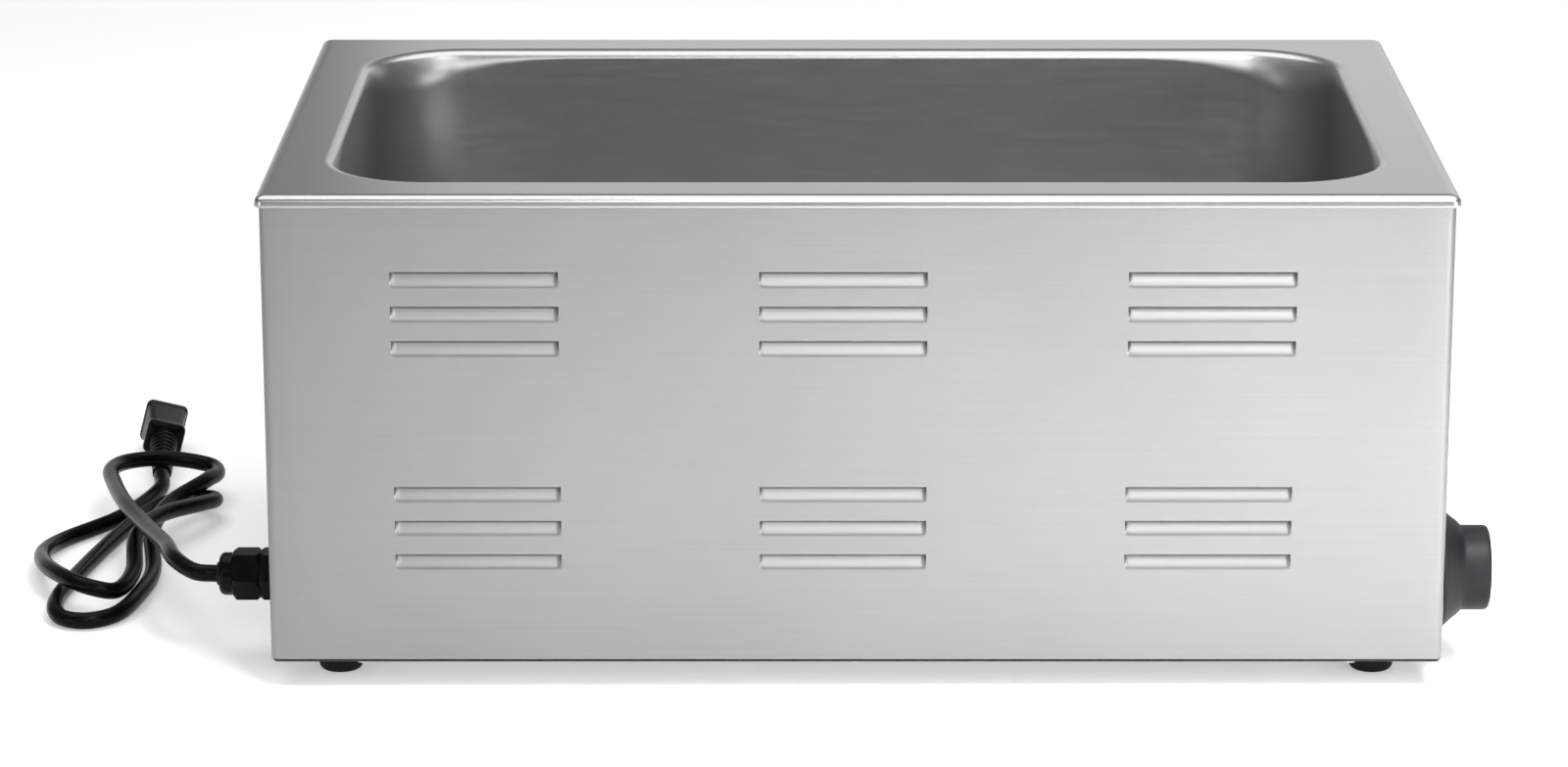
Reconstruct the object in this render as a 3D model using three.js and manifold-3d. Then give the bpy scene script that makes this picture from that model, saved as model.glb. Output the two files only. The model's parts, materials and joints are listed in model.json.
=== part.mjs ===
// Electric countertop food warmer: a deep well for one full-size pan, heated by a rod element below.
//
// Units are millimetres. +X points to the end that carries the thermostat knob, -Y to the front with
// its louvres, and +Z is up. The origin lies on the worktop under the middle of the body.
// The mains lead leaves the -X end, folds back on itself in a loose hank and ends in a plug.

import * as THREE from 'three';
import { mergeVertices } from 'three/addons/utils/BufferGeometryUtils.js';
import Module from 'manifold-3d';

const wasm = await Module();
wasm.setup();

// ------------------------------------------------------------------------- driving dimensions

const GAP = 0.3;      // left between pieces that touch
const SHEET = 1.2;    // thickness of the steel sheet
const REACH = 1;      // how far a cutting body runs past the surface that it cuts

const RIM = { length: 574, depth: 370, top: 248, lip: 6, corner: 5, roll: 3 };
const BODY = { length: 570, depth: 366, bottom: 15.5, corner: 5, flange: 18 };
const WELL = { length: 510, depth: 300, floor: 82, corner: 48, heel: 20 };
const BASE = { length: 556, depth: 352, bottom: 14, corner: 4 };

const FOOT = { x: 254, y: 147, top: 12, bottom: 10.5, recess: 5, recessHeight: 8 };
const SCREW = { shank: 2, hole: 2.4, head: 4, headHeight: 2.2, top: 24 };
const BASE_SCREW = { columns: [-241, 0, 241], y: 172 };

const LOUVRE = { length: 80.4, height: 8, pitch: 17, inset: 3.4, lap: 0.6, perGroup: 3 };
const LOUVRE_GROUPS = { columns: [-183, -6.7, 169.6], tops: [210.3, 103.4] };

const INSULATION = { thickness: 13, bottom: 96, top: 220, clearance: 1 };

const ELEMENT = { radius: 3.5, outer: 90, inner: 30, near: -200, far: 170, end: 215 };
const CLAMP = { columns: [-150, 0, 110], width: 8, length: 200, thickness: 2, stud: 2.5, nut: 4.6 };
const SHIELD = { near: -235, far: 190, halfDepth: 125, bottom: 60, top: 70 };
const BULB = { x: [120, 200], y: -60, radius: 4, tube: 1 };

const KNOB = {
  y: -138, z: 48.8, skirt: 30, grip: 21, gripBase: 12.7, length: 26.2, standOff: 1.2, wall: 2.5, face: 3.5,
};
const HUB = { bore: 4.8, radius: 8, back: 4 };
const SPINDLE = { radius: 3, inner: 262, outer: 303, clearance: 0.4, wallHole: 5 };
const THERMOSTAT = { back: 248, width: 46, height: 46, plate: 60, screwOffset: 16 };

const GLAND = { y: -127, z: 42, thread: 10, bore: 4.7, hex: 13.4, dome: 10.7, domeHeight: 7.6, reach: 30 };
const CORD = { radius: 4.3, sides: 8, steps: 72 };
const WIRE = { radius: 1.5, sides: 6, steps: 14 };
const BLOCK = { x: [-245, -185], depth: 30, height: 22 };

const PLUG = { x: -384, y: 209, z: 13.9, roll: 15, yaw: 7, flange: 23.5, flangeHeight: 24 };
const NECK = { length: 48, thick: 7.3, thin: 5.2, droop: 7 };

const WALL_X = BODY.length / 2;
const WALL_Y = BODY.depth / 2;
const PAN_UNDERSIDE = WELL.floor;
const SHELL_TOP = RIM.top - SHEET - GAP;
const DECK = BASE.bottom + SHEET;

// Centre line of the free lead, from the mouth of the gland to the back of the plug.
const CORD_ROUTE = [
  [-315.9, -127, 42], [-328, -125.2, 42.6], [-340, -107, 43.8], [-349, -72, 40.5],
  [-366, -17, 33.5], [-384, 40, 28.5], [-397, 94, 23.6], [-402, 124, 21.6],
  [-395, 144, 20.4], [-375, 155, 18.8], [-353.5, 155, 15.4], [-346.5, 140, 15.2],
  [-350.5, 118, 17], [-366, 81, 15], [-370, 40, 12.4], [-364, -8, 5.8],
  [-367, -48, 5], [-374, -77, 4.8], [-388, -88, 4.6], [-402, -82, 5],
  [-407, -60, 6], [-403, -14, 5], [-391, 56, 4.6], [-378, 106, 4.8],
  [-363, 120, 6], [-349.5, 115, 8.4], [-343.5, 101, 11.4], [-349, 82, 15],
  [-366, 44, 20.2], [-374, 8, 19.5], [-371.5, -27, 12], [-376, -56, 10.8],
  [-388, -62, 13.8], [-402, -52, 15.6], [-417, -22, 13], [-424.5, 18, 7.5],
  [-418, 50, 4.8], [-393, 92, 4.6], [-379, 140, 5], [-379.7, 160.9, 8],
];

const COLOURS = {
  steel: [0xb9bbbd, 0.32, 0.95],
  darkSteel: [0x8f9193, 0.4, 0.9],
  zinc: [0xc6c7c4, 0.35, 0.9],
  brass: [0xc2a25a, 0.35, 0.9],
  nickel: [0xcfccc4, 0.25, 0.95],
  rubber: [0x161616, 0.8, 0],
  knob: [0x232425, 0.45, 0],
  cord: [0x121212, 0.5, 0],
  nylon: [0x151515, 0.45, 0],
  marker: [0xe8e8e4, 0.5, 0],
  bakelite: [0x2b211c, 0.5, 0],
  ceramic: [0xe6e1d6, 0.7, 0],
  fibre: [0xd9cf9e, 0.95, 0],
  live: [0x1a1a1a, 0.5, 0],
  neutral: [0xe9e9e6, 0.5, 0],
  earth: [0x2f7d3a, 0.5, 0],
  switched: [0xb03026, 0.5, 0],
};

// ------------------------------------------------------------------------------ solid helpers

function toSolid(geometry) {
  const bare = geometry.clone();
  bare.deleteAttribute('normal');
  bare.deleteAttribute('uv');
  const merged = mergeVertices(bare);
  return new wasm.Manifold(new wasm.Mesh({
    numProp: 3,
    vertProperties: new Float32Array(merged.attributes.position.array),
    triVerts: new Uint32Array(merged.index.array),
  }));
}

function toGeometry(solid) {
  const mesh = solid.getMesh();
  const geometry = new THREE.BufferGeometry();
  geometry.setAttribute('position', new THREE.BufferAttribute(new Float32Array(mesh.vertProperties), 3));
  geometry.setIndex(new THREE.BufferAttribute(new Uint32Array(mesh.triVerts), 1));
  geometry.computeVertexNormals();
  return geometry;
}

function join(geometries) {
  return toGeometry(geometries.map(toSolid).reduce((whole, piece) => whole.add(piece)));
}

function cut(geometry, cutters) {
  return toGeometry(cutters.map(toSolid).reduce((rest, cutter) => rest.subtract(cutter), toSolid(geometry)));
}

// ------------------------------------------------------------------------------ shape helpers

function roundedRectangle(length, depth, radius) {
  const x = length / 2;
  const y = depth / 2;
  const shape = new THREE.Shape();
  shape.moveTo(-x + radius, -y);
  shape.absarc(x - radius, -y + radius, radius, -Math.PI / 2, 0, false);
  shape.absarc(x - radius, y - radius, radius, 0, Math.PI / 2, false);
  shape.absarc(-x + radius, y - radius, radius, Math.PI / 2, Math.PI, false);
  shape.absarc(-x + radius, -y + radius, radius, Math.PI, Math.PI * 1.5, false);
  shape.closePath();
  return shape;
}

// A level slab between two heights with a plan outline.
function slab(shape, low, high, curveSegments = 4) {
  const depth = high - low;
  const geometry = new THREE.ExtrudeGeometry(shape, { depth, bevelEnabled: false, curveSegments });
  return geometry.translate(0, 0, low);
}

// The same slab with both its ends rounded over.
function roundedSlab(shape, low, high, radius, segments, curveSegments) {
  const geometry = new THREE.ExtrudeGeometry(shape, {
    depth: high - low - 2 * radius,
    bevelEnabled: true,
    bevelThickness: radius,
    bevelSize: radius,
    bevelOffset: -radius,
    bevelSegments: segments,
    curveSegments,
  });
  return geometry.translate(0, 0, low + radius);
}

function box(x0, x1, y0, y1, z0, z1) {
  const geometry = new THREE.BoxGeometry(x1 - x0, y1 - y0, z1 - z0);
  return geometry.translate((x0 + x1) / 2, (y0 + y1) / 2, (z0 + z1) / 2);
}

// A round bar standing on +Z between two heights.
function post(radius, low, high, x, y, segments = 12) {
  const geometry = new THREE.CylinderGeometry(radius, radius, high - low, segments);
  return geometry.rotateX(Math.PI / 2).translate(x, y, (low + high) / 2);
}

// A round bar along X.
function axle(radius, near, far, y, z, segments = 16) {
  const geometry = new THREE.CylinderGeometry(radius, radius, far - near, segments);
  return geometry.rotateZ(-Math.PI / 2).translate((near + far) / 2, y, z);
}

// A turned piece: the profile is a list of [radius, height] pairs about the local +Y axis.
function turned(profile, segments) {
  const points = profile.map(([radius, height]) => new THREE.Vector2(radius, height));
  return new THREE.LatheGeometry(points, segments);
}

function polygon(points) {
  return new THREE.Shape(points.map(([x, y]) => new THREE.Vector2(x, y)));
}

function circle(radius, sides) {
  const corner = (index) => (index + 0.5) * 2 * Math.PI / sides;
  return polygon(Array.from({ length: sides }, (_, index) => [
    radius * Math.cos(corner(index)), radius * Math.sin(corner(index)),
  ]));
}

function smoothCurve(points) {
  const vectors = points.map((point) => new THREE.Vector3(...point));
  return new THREE.CatmullRomCurve3(vectors, false, 'catmullrom', 0.5);
}

function tube(curve, radius, sides, steps) {
  return new THREE.ExtrudeGeometry(circle(radius, sides), { extrudePath: curve, steps, bevelEnabled: false });
}

// A standing bar whose section is drawn in the Y-Z plane, running along X.
function railAlongX(section, near, far) {
  const geometry = new THREE.ExtrudeGeometry(section, {
    depth: far - near, bevelEnabled: false, curveSegments: 8,
  });
  return geometry.rotateX(Math.PI / 2).rotateZ(Math.PI / 2).translate(near, 0, 0);
}

function part(name, geometry, finish) {
  const [color, roughness, metalness] = COLOURS[finish];
  const mesh = new THREE.Mesh(geometry, new THREE.MeshStandardMaterial({ color, roughness, metalness }));
  mesh.name = name;
  return mesh;
}

function group(...children) {
  const result = new THREE.Group();
  result.add(...children);
  return result;
}

// ------------------------------------------------------------------------------- outer casing

// One louvre pressed into the front wall: an inclined blade, closed at both ends and open on top.
function louvreScoop(x, slotBottom) {
  const face = -WALL_Y;
  const half = LOUVRE.length / 2;
  const { height, inset, lap } = LOUVRE;
  const slotTop = slotBottom + height;
  const bladeTop = slotTop - lap;
  const blade = polygon([
    [face, slotBottom],
    [face + SHEET, slotBottom - SHEET],
    [face + inset + SHEET, bladeTop - lap],
    [face + inset, bladeTop],
  ]);
  const cheek = polygon([
    [face + GAP, slotBottom - lap],
    [face + SHEET, slotBottom - SHEET],
    [face + inset + SHEET, bladeTop - lap],
    [face + inset, bladeTop + GAP],
    [face + 2 * SHEET, slotTop + lap],
    [face + GAP, slotTop + lap],
  ]);
  return [
    railAlongX(blade, x - half - lap, x + half + lap),
    railAlongX(cheek, x - half - SHEET, x - half),
    railAlongX(cheek, x + half, x + half + SHEET),
  ];
}

function louvrePositions() {
  return LOUVRE_GROUPS.tops.flatMap((top) => LOUVRE_GROUPS.columns.flatMap((x) => (
    Array.from({ length: LOUVRE.perGroup }, (_, row) => [x, top - row * LOUVRE.pitch - LOUVRE.height])
  )));
}

function louvreSlot([x, slotBottom]) {
  const half = LOUVRE.length / 2;
  const [front, back] = [-WALL_Y - REACH, -WALL_Y + SHEET + REACH];
  return box(x - half, x + half, front, back, slotBottom, slotBottom + LOUVRE.height);
}

function outerShell() {
  const outline = roundedRectangle(BODY.length, BODY.depth, BODY.corner);
  const inside = roundedRectangle(BODY.length - 2 * SHEET, BODY.depth - 2 * SHEET, BODY.corner - SHEET);
  const belly = roundedRectangle(BODY.length - 2 * BODY.flange, BODY.depth - 2 * BODY.flange, BODY.corner);
  const walls = cut(slab(outline, BODY.bottom, SHELL_TOP), [
    slab(inside, BODY.bottom + SHEET, SHELL_TOP + REACH),
    slab(belly, BODY.bottom - REACH, BODY.bottom + 2 * SHEET),
    axle(SPINDLE.wallHole, WALL_X - 3, WALL_X + REACH, KNOB.y, KNOB.z),
    ...[-1, 1].map((side) => (
      axle(SCREW.hole, WALL_X - 3, WALL_X + REACH, KNOB.y + side * THERMOSTAT.screwOffset, KNOB.z, 10)
    )),
    axle(GLAND.thread + GAP, -WALL_X - REACH, -WALL_X + 3, GLAND.y, GLAND.z, 24),
    ...baseScrewPlaces().map(([x, y]) => post(SCREW.hole, BODY.bottom - REACH, BODY.bottom + 3, x, y, 8)),
  ]);
  const positions = louvrePositions();
  const slots = positions.map(louvreSlot);
  const scoops = positions.flatMap(([x, slotBottom]) => louvreScoop(x, slotBottom));
  const turn = (geometry) => geometry.clone().rotateZ(Math.PI);
  const slotted = cut(walls, [...slots, ...slots.map(turn)]);
  return part('outer_shell', join([slotted, ...scoops, ...scoops.map(turn)]), 'steel');
}

function wellPan() {
  const skirt = RIM.top - RIM.lip;
  const outline = roundedRectangle(RIM.length, RIM.depth, RIM.corner);
  const brim = cut(
    roundedSlab(outline, skirt - 2 * RIM.roll, RIM.top, RIM.roll, 2, 3),
    [
      slab(roundedRectangle(RIM.length + 2, RIM.depth + 2, RIM.corner), skirt - 3 * RIM.roll, skirt),
      slab(
        roundedRectangle(RIM.length - 2 * SHEET, RIM.depth - 2 * SHEET, RIM.corner - SHEET),
        skirt - REACH, RIM.top - SHEET,
      ),
    ],
  );
  const outside = roundedRectangle(WELL.length + 2 * SHEET, WELL.depth + 2 * SHEET, WELL.corner + SHEET);
  const inside = roundedRectangle(WELL.length, WELL.depth, WELL.corner);
  const above = RIM.top + 2 * WELL.heel;
  const tub = cut(roundedSlab(outside, WELL.floor, above, WELL.heel + SHEET, 3, 5), [
    slab(roundedRectangle(RIM.length, RIM.depth, RIM.corner), RIM.top - SHEET / 2, above + REACH),
  ]);
  const hollow = roundedSlab(inside, WELL.floor + SHEET, above, WELL.heel, 3, 5);
  return part('well_pan', cut(join([brim, tub]), [hollow]), 'steel');
}

function basePlate() {
  const holes = [...footPlaces(), ...baseScrewPlaces()];
  const plate = slab(roundedRectangle(BASE.length, BASE.depth, BASE.corner), BASE.bottom, DECK, 3);
  return part('base_plate', cut(plate, holes.map(([x, y]) => (
    post(SCREW.hole, BASE.bottom - REACH, DECK + REACH, x, y, 8)
  ))), 'darkSteel');
}

function insulationWrap() {
  const hole = [WELL.length, WELL.depth].map((side) => side + 2 * (SHEET + INSULATION.clearance));
  const radius = WELL.corner + SHEET + INSULATION.clearance;
  const wrap = [...hole.map((side) => side + 2 * INSULATION.thickness), radius + INSULATION.thickness];
  return part('insulation_wrap', cut(
    slab(roundedRectangle(...wrap), INSULATION.bottom, INSULATION.top, 4),
    [slab(roundedRectangle(...hole, radius), INSULATION.bottom - REACH, INSULATION.top + REACH, 4)],
  ), 'fibre');
}

// ------------------------------------------------------------------------- feet and fasteners

function footPlaces() {
  return [[-1, -1], [1, -1], [-1, 1], [1, 1]].map(([sx, sy]) => [sx * FOOT.x, sy * FOOT.y]);
}

function baseScrewPlaces() {
  return [-1, 1].flatMap((side) => BASE_SCREW.columns.map((x) => [x, side * BASE_SCREW.y]));
}

function foot(name, x, y) {
  const top = BASE.bottom - GAP;
  const blank = turned([
    [0, 0], [FOOT.bottom - 1.5, 0], [FOOT.bottom, 1.5], [FOOT.top, top - 2], [FOOT.top, top], [0, top],
  ], 16);
  const drilled = cut(blank.rotateX(Math.PI / 2), [
    post(FOOT.recess, -REACH, FOOT.recessHeight, 0, 0, 12),
    post(SCREW.hole, 0, BASE.bottom, 0, 0, 8),
  ]);
  return part(name, drilled.translate(x, y, 0), 'rubber');
}

// A pan-head screw driven upwards; the head's bearing face is at the given height.
function upwardScrew(name, x, y, seat) {
  const { head, headHeight, shank } = SCREW;
  const profile = [[0, -headHeight], [head - 1, -headHeight], [head, -0.8], [head, 0],
    [shank, 0], [shank, SCREW.top - seat], [0, SCREW.top - seat]];
  return part(name, turned(profile, 9).rotateX(Math.PI / 2).translate(x, y, seat), 'zinc');
}

function feetAndFasteners() {
  const names = ['front_left', 'front_right', 'rear_left', 'rear_right'];
  const feet = footPlaces().map(([x, y], index) => foot(`foot_${names[index]}`, x, y));
  const footScrews = footPlaces().map(([x, y], index) => (
    upwardScrew(`foot_screw_${names[index]}`, x, y, FOOT.recessHeight - GAP)
  ));
  const baseScrews = baseScrewPlaces().map(([x, y], index) => (
    upwardScrew(`base_screw_${index + 1}`, x, y, BASE.bottom - GAP)
  ));
  return group(...feet, ...footScrews, ...baseScrews);
}

// ------------------------------------------------------------------------------------ heating

function hairpin(fromY, toY, x, side) {
  const steps = 5;
  return Array.from({ length: steps - 1 }, (_, index) => {
    const angle = Math.PI * (index + 1) / steps;
    const radius = (toY - fromY) / 2;
    return [x + side * radius * Math.sin(angle), (fromY + toY) / 2 - radius * Math.cos(angle)];
  });
}

// A rod bent into four legs, its two ends side by side at the knob end.
function heatingElement() {
  const { outer, inner, near, far, end, radius } = ELEMENT;
  const z = PAN_UNDERSIDE - GAP - radius;
  const plan = [
    [end, -outer], [far, -outer], [0, -outer], [near, -outer], ...hairpin(-outer, -inner, near, -1),
    [near, -inner], [0, -inner], [far, -inner], ...hairpin(-inner, inner, far, 1),
    [far, inner], [0, inner], [near, inner], ...hairpin(inner, outer, near, -1),
    [near, outer], [0, outer], [far, outer], [end, outer],
  ];
  const path = new THREE.CurvePath();
  const corners = plan.map(([x, y]) => new THREE.Vector3(x, y, z));
  corners.slice(1).forEach((corner, index) => path.add(new THREE.LineCurve3(corners[index], corner)));
  return part('heating_element', tube(path, radius, 6, 72), 'darkSteel');
}

function clampSet(x, index) {
  const tubeBottom = PAN_UNDERSIDE - GAP - 2 * ELEMENT.radius;
  const barTop = tubeBottom - GAP;
  const barBottom = barTop - CLAMP.thickness;
  const half = CLAMP.length / 2;
  const bar = cut(box(x - CLAMP.width / 2, x + CLAMP.width / 2, -half, half, barBottom, barTop), [
    post(CLAMP.stud + GAP, barBottom - REACH, barTop + REACH, x, 0, 12),
  ]);
  const nutTop = barBottom - GAP;
  const nut = cut(post(CLAMP.nut, nutTop - 4, nutTop, x, 0, 6), [
    post(CLAMP.stud + GAP, nutTop - 4 - REACH, nutTop + REACH, x, 0, 12),
  ]);
  return [
    part(`element_clamp_${index}`, bar, 'zinc'),
    part(`clamp_stud_${index}`, post(CLAMP.stud, nutTop - 5.5, PAN_UNDERSIDE - GAP, x, 0, 10), 'zinc'),
    part(`clamp_nut_${index}`, nut, 'zinc'),
  ];
}

// A shallow tray under the element, standing on four legs on the base plate.
function heatShield() {
  const { near, far, halfDepth, bottom, top } = SHIELD;
  const tray = cut(box(near, far, -halfDepth, halfDepth, bottom, top), [
    box(near + 1, far - 1, -halfDepth + 1, halfDepth - 1, bottom + 1, top + REACH),
  ]);
  const legs = [-160, 150].flatMap((x) => [-1, 1].map((side) => {
    const y = side * (halfDepth - 3);
    return box(x - 8, x + 8, y - 0.6, y + 0.6, DECK + GAP, bottom + 0.5);
  }));
  return part('heat_shield', join([tray, ...legs]), 'zinc');
}

function capillaryBulb() {
  const z = PAN_UNDERSIDE - GAP - BULB.radius - 1;
  const [start, end] = BULB.x;
  const bulb = axle(BULB.radius, start, end, BULB.y, z, 12);
  const capillary = smoothCurve([
    [end - 2, BULB.y, z], [end + 14, BULB.y - 2, z], [end + 32, BULB.y - 14, z - 1],
    [end + 50, BULB.y - 34, z + 1], [end + 60, BULB.y - 56, z + 2],
    [end + 62, KNOB.y + 6, z + 1], [end + 62, KNOB.y, z - 1],
    [end + 62, KNOB.y, KNOB.z + THERMOSTAT.height / 2 + 2 * GAP],
  ]);
  return part('capillary_bulb', join([bulb, tube(capillary, BULB.tube, 6, 16)]), 'nickel');
}

// A strap that hangs the bulb under the pan: two ears and a half ring between them.
function bulbClip(name, x) {
  const top = PAN_UNDERSIDE - GAP;
  const z = top - BULB.radius - 1;
  const inner = BULB.radius + GAP;
  const outer = inner + 1;
  const ear = outer + 6;
  const strap = new THREE.Shape();
  strap.moveTo(BULB.y - ear, top - 1);
  strap.lineTo(BULB.y - outer, top - 1);
  strap.absarc(BULB.y, z, outer, Math.PI, 2 * Math.PI, false);
  strap.lineTo(BULB.y + outer, top - 1);
  strap.lineTo(BULB.y + ear, top - 1);
  strap.lineTo(BULB.y + ear, top);
  strap.lineTo(BULB.y + inner, top);
  strap.absarc(BULB.y, z, inner, 2 * Math.PI, Math.PI, true);
  strap.lineTo(BULB.y - inner, top);
  strap.lineTo(BULB.y - ear, top);
  strap.closePath();
  return part(name, railAlongX(strap, x - 5, x + 5), 'zinc');
}

function highLimitCutout() {
  const x = ELEMENT.end + 10;
  const top = PAN_UNDERSIDE - GAP;
  const tab = (side) => box(x - 3, x + 3, side * 5 - 0.4, side * 5 + 0.4, top - 18, top - 9);
  return part('high_limit_cutout', join([
    post(8, top - 3, top, x, 0, 20),
    post(6.5, top - 10, top - 2, x, 0, 20),
    tab(-1),
    tab(1),
  ]), 'bakelite');
}

function heating() {
  return group(
    heatingElement(),
    ...CLAMP.columns.flatMap((x, index) => clampSet(x, index + 1)),
    heatShield(),
    capillaryBulb(),
    bulbClip('bulb_clip_1', BULB.x[0] + 20),
    bulbClip('bulb_clip_2', BULB.x[1] - 20),
    highLimitCutout(),
  );
}

// --------------------------------------------------------------------------- thermostat, knob

function thermostatBody() {
  const front = WALL_X - SHEET - GAP;
  const { back, width, height, plate, screwOffset } = THERMOSTAT;
  const { y, z } = KNOB;
  const housing = join([
    box(back, front - 1, y - width / 2, y + width / 2, z - height / 2, z + height / 2),
    box(front - 1.5, front, y - plate / 2, y + plate / 2, z - 15, z + 15),
    box(back - 8, back + 1, y - 12, y - 11, z - 4, z + 4),
    box(back - 8, back + 1, y + 11, y + 12, z - 4, z + 4),
  ]);
  return part('thermostat_body', cut(housing, [
    axle(SPINDLE.radius + SPINDLE.clearance, SPINDLE.inner - 1, front + REACH, y, z, 24),
    ...[-1, 1].map((side) => axle(SCREW.hole, front - 10, front + REACH, y + side * screwOffset, z, 10)),
  ]), 'bakelite');
}

function thermostatScrew(name, side) {
  const seat = WALL_X + GAP;
  const y = KNOB.y + side * THERMOSTAT.screwOffset;
  const screw = join([
    axle(SCREW.head - 0.5, seat, seat + 2, y, KNOB.z, 12),
    axle(SCREW.shank, seat - 9, seat + REACH, y, KNOB.z, 10),
  ]);
  return part(name, screw, 'zinc');
}

// Turned about the spindle: a flared skirt, a plain grip and a hub inside for the brass insert.
// The knob as a cup: a flared skirt and a grip round a hub that takes the brass insert.
function knobCap() {
  const { skirt, grip, gripBase, length, standOff, wall, face } = KNOB;
  const roof = length - face;
  const edge = { soft: 2.4, round: 0.8 };
  const profile = [
    [0, roof - 1.5], [HUB.bore, roof - 1.5], [HUB.bore, HUB.back], [HUB.radius, HUB.back],
    [HUB.radius, roof], [grip - wall, roof], [grip - wall, gripBase - 1],
    [skirt - wall - 2, standOff + 1.5], [skirt - wall, standOff],
    [skirt, standOff], [skirt, standOff + 1.6], [grip + 3.2, gripBase - 3.2], [grip, gripBase],
    [grip - 0.3, length - edge.soft], [grip - 1, length - edge.round],
    [grip - edge.soft - 0.2, length], [0, length],
  ];
  const blank = turned(profile, 30).rotateZ(-Math.PI / 2);
  const groove = box(length - 1, length + REACH, -1.2, 1.2, 5, grip - 3);
  return cut(blank, [groove]);
}

function knobAssembly() {
  const { length, grip } = KNOB;
  const bore = SPINDLE.radius + GAP;
  const insert = turned([
    [bore, 4.3], [4.5, 4.3], [4.5, length - 5.3], [bore, length - 5.3], [bore, 4.3],
  ], 20).rotateZ(-Math.PI / 2);
  const marker = box(length - 0.7, length - 0.05, -0.9, 0.9, 5.3, grip - 3.3);
  const assembly = group(
    part('knob', knobCap(), 'knob'),
    part('knob_insert', insert, 'brass'),
    part('knob_marker', marker, 'marker'),
  );
  assembly.position.set(WALL_X, KNOB.y, KNOB.z);
  const shaft = cut(axle(SPINDLE.radius, SPINDLE.inner, SPINDLE.outer, KNOB.y, KNOB.z, 20), [
    box(SPINDLE.outer - 14, SPINDLE.outer + REACH, KNOB.y - 4, KNOB.y + 4, KNOB.z + 1.8, KNOB.z + 4),
  ]);
  return group(assembly, part('thermostat_spindle', shaft, 'zinc'));
}

function thermostat() {
  return group(
    thermostatBody(),
    thermostatScrew('thermostat_screw_1', -1),
    thermostatScrew('thermostat_screw_2', 1),
    knobAssembly(),
  );
}

// ------------------------------------------------------------------- gland, wiring, mains lead

function hexPrism(radius, near, far) {
  return axle(radius, near, far, GLAND.y, GLAND.z, 6);
}

function glandBore(radius, near, far) {
  return axle(radius, near - REACH, far + REACH, GLAND.y, GLAND.z, 24);
}

// The gland's pieces along X: body hex against the wall, cap nut outside, locknut inside.
function gland() {
  const { thread, bore, hex, dome, domeHeight, reach, y, z } = GLAND;
  const flange = 9;
  const nose = 11;
  const shank = 15;
  const collar = thread - SHEET;
  const wall = -WALL_X - GAP;
  const bodyHex = wall - flange;
  const mouth = -WALL_X - reach;
  const body = cut(join([
    hexPrism(hex, bodyHex, wall),
    axle(thread, wall - REACH, -WALL_X + shank, y, z, 24),
    axle(collar, bodyHex - nose, bodyHex + REACH, y, z, 24),
  ]), [glandBore(bore, mouth, -WALL_X + shank)]);
  const capNear = bodyHex - GAP;
  const domeProfile = [
    [0, 0], [dome + 0.9, 0], [dome, 1.4], [dome, 4.5],
    [dome - 1, 6.5], [dome - 2.6, domeHeight], [0, domeHeight],
  ];
  const cap = cut(join([
    hexPrism(hex, mouth + domeHeight - 0.4, capNear),
    turned(domeProfile, 24).rotateZ(Math.PI / 2).translate(mouth + domeHeight, y, z),
  ]), [
    glandBore(bore, mouth, capNear),
    axle(collar + GAP, bodyHex - nose - 0.5, capNear + REACH, y, z, 24),
  ]);
  const lockNear = -WALL_X + SHEET + GAP;
  const lockFar = lockNear + 5;
  const lock = cut(hexPrism(hex + 1, lockNear, lockFar), [glandBore(thread + GAP, lockNear, lockFar)]);
  return group(
    part('gland_body', body, 'nylon'),
    part('gland_cap_nut', cap, 'nylon'),
    part('gland_locknut', lock, 'nylon'),
  );
}

function terminalBlock() {
  const [near, far] = BLOCK.x;
  const y0 = GLAND.y - BLOCK.depth / 2;
  const y1 = GLAND.y + BLOCK.depth / 2;
  const z0 = DECK + GAP;
  const pitch = BLOCK.depth / 3;
  const wells = [0, 1, 2].flatMap((index) => [near + 12, far - 12].map((x) => (
    post(2.6, z0 + 12, z0 + BLOCK.height + REACH, x, y0 + (index + 0.5) * pitch, 10)
  )));
  const fixing = post(SCREW.hole, z0 - REACH, z0 + BLOCK.height + REACH, (near + far) / 2, GLAND.y, 10);
  const blank = box(near, far, y0, y1, z0, z0 + BLOCK.height);
  return part('terminal_block', cut(blank, [...wells, fixing]), 'ceramic');
}

function terminalBlockScrew() {
  const x = (BLOCK.x[0] + BLOCK.x[1]) / 2;
  const seat = DECK + GAP + BLOCK.height + GAP;
  return part('terminal_block_screw', join([
    post(SCREW.head, seat, seat + 2, x, GLAND.y, 12),
    post(SCREW.shank, DECK + GAP, seat + REACH, x, GLAND.y, 10),
  ]), 'zinc');
}

function earthPost() {
  const [x, y] = [-205, -60];
  const seat = DECK + GAP;
  return group(
    part('earth_stud', post(2, seat, seat + 14, x, y, 12), 'brass'),
    part('earth_nut', cut(post(4, seat + 2, seat + 5.2, x, y, 6), [
      post(2 + GAP, seat, seat + 8, x, y, 12),
    ]), 'brass'),
  );
}

function wire(name, points, finish) {
  return part(name, tube(smoothCurve(points), WIRE.radius, WIRE.sides, WIRE.steps), finish);
}

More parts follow.
